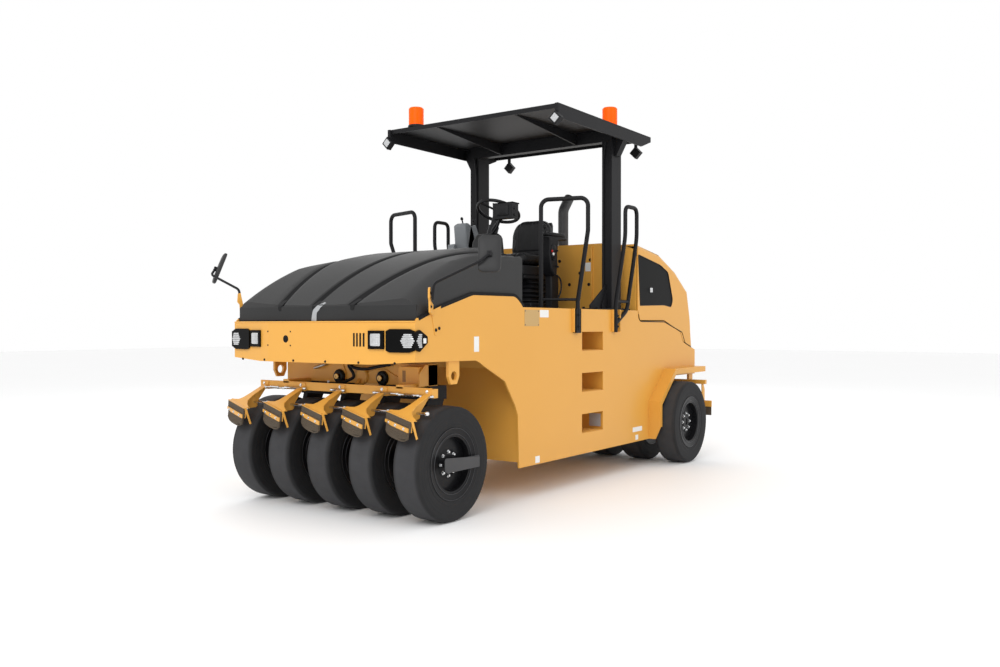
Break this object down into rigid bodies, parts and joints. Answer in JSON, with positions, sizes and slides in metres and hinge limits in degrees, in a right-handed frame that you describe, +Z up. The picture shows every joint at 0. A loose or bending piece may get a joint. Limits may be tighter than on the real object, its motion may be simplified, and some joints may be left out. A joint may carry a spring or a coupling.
{
  "type": "pneumatic tyre roller",
  "caption": "Pneumatic tyre roller: steered front row and driven rear row of smooth tyres under a ballast hull, open canopy over the operator's platform, hinged engine hood.",
  "frame": {"origin": "on the ground, in the middle of the machine's box", "axes": "+X forward, +Y to the machine's left, +Z up"},
  "size_m": [4.3573, 2.724, 3.148],
  "materials": {
    "yellow_paint": "semi-gloss",
    "black_paint": "satin",
    "brown_paint": "satin",
    "deck_plate": "matte, non-slip",
    "grey_moulding": "fine grain",
    "black_plastic": "fine grain",
    "black_mesh": "matte",
    "lamp_glass": "glossy",
    "amber_lens": "glossy",
    "seat_vinyl": "satin",
    "stack_steel": "satin",
    "engine_paint": "matte",
    "scraper_rubber": "matte",
    "tyre_rubber": "matte",
    "rim_paint": "satin"
  },
  "bodies": {
    "chassis": {"side_plate_left": "yellow_paint", "side_plate_right": "yellow_paint", "ballast_tank": "yellow_paint", "front_bumper": "yellow_paint", "front_lamps": "lamp_glass", "platform_floor": "deck_plate", "front_cover": "grey_moulding", "bulkhead": "yellow_paint", "rear_panel": "yellow_paint", "rear_fender_left": "yellow_paint", "rear_fender_right": "yellow_paint", "rops_post_left": "black_paint", "rops_post_right": "black_paint", "canopy_beam": "black_paint", "canopy_roof": "black_paint", "beacons": "amber_lens", "work_lights": "black_plastic", "handrails": "black_paint", "seat_base": "black_plastic", "seat_cushion": "seat_vinyl", "seat_back": "seat_vinyl", "arm_console": "black_plastic", "side_console": "grey_moulding", "steering_column": "grey_moulding", "mirror_arms": "black_paint", "mirror_heads": "black_plastic", "exhaust_stack": "stack_steel", "engine_block": "engine_paint", "lifting_eyes": "yellow_paint", "rear_axle": "black_paint", "rear_scraper_bar": "black_paint", "rear_scraper_blades": "scraper_rubber"},
    "front_steer": {"front_yoke": "brown_paint", "pivot_pins": "black_paint", "wheel_carriers": "black_paint", "front_axle_shaft": "black_paint", "front_scraper_bar": "black_paint", "front_scraper_blades": "scraper_rubber"},
    "front_wheel_1": {"front_tyre_1": "tyre_rubber", "front_rim_1": "rim_paint"},
    "front_wheel_2": {"front_tyre_2": "tyre_rubber", "front_rim_2": "rim_paint"},
    "front_wheel_3": {"front_tyre_3": "tyre_rubber", "front_rim_3": "rim_paint"},
    "front_wheel_4": {"front_tyre_4": "tyre_rubber", "front_rim_4": "rim_paint"},
    "front_wheel_5": {"front_tyre_5": "tyre_rubber", "front_rim_5": "rim_paint"},
    "rear_wheels_left": {"rear_tyres_left": "tyre_rubber", "rear_rims_left": "rim_paint"},
    "rear_wheels_right": {"rear_tyres_right": "tyre_rubber", "rear_rims_right": "rim_paint"},
    "steering_wheel_body": {"steering_wheel": "black_plastic"},
    "rear_hood_body": {"rear_hood": "yellow_paint", "hood_grilles": "black_mesh"}
  },
  "joints": [
    {"name": "front_steering", "type": "hinge", "parent": "chassis", "child": "front_steer", "pos_m": [1.7264, 0, 1.047], "axis": [0, 0, 1], "range_deg": [-30, 30]},
    {"name": "front_wheel_1_spin", "type": "hinge", "parent": "front_steer", "child": "front_wheel_1", "pos_m": [1.7264, -0.7712, 0.3744], "axis": [0, 1, 0], "continuous": true},
    {"name": "front_wheel_2_spin", "type": "hinge", "parent": "front_steer", "child": "front_wheel_2", "pos_m": [1.7264, -0.3856, 0.3744], "axis": [0, 1, 0], "continuous": true},
    {"name": "front_wheel_3_spin", "type": "hinge", "parent": "front_steer", "child": "front_wheel_3", "pos_m": [1.7264, 0, 0.3744], "axis": [0, 1, 0], "continuous": true},
    {"name": "front_wheel_4_spin", "type": "hinge", "parent": "front_steer", "child": "front_wheel_4", "pos_m": [1.7264, 0.3856, 0.3744], "axis": [0, 1, 0], "continuous": true},
    {"name": "front_wheel_5_spin", "type": "hinge", "parent": "front_steer", "child": "front_wheel_5", "pos_m": [1.7264, 0.7712, 0.3744], "axis": [0, 1, 0], "continuous": true},
    {"name": "rear_wheels_left_spin", "type": "hinge", "parent": "chassis", "child": "rear_wheels_left", "pos_m": [-1.5896, 0.5784, 0.3744], "axis": [0, 1, 0], "continuous": true},
    {"name": "rear_wheels_right_spin", "type": "hinge", "parent": "chassis", "child": "rear_wheels_right", "pos_m": [-1.5896, -0.5784, 0.3744], "axis": [0, 1, 0], "continuous": true},
    {"name": "steering_wheel_turn", "type": "hinge", "parent": "chassis", "child": "steering_wheel_body", "pos_m": [0.0014, 0, 2.24], "axis": [-0.4226, 0, 0.9063], "range_deg": [-720, 720]},
    {"name": "rear_hood_hinge", "type": "hinge", "parent": "chassis", "child": "rear_hood_body", "pos_m": [-2.0886, 0, 1.064], "axis": [0, -1, 0], "range_deg": [0, 60]}
  ]
}
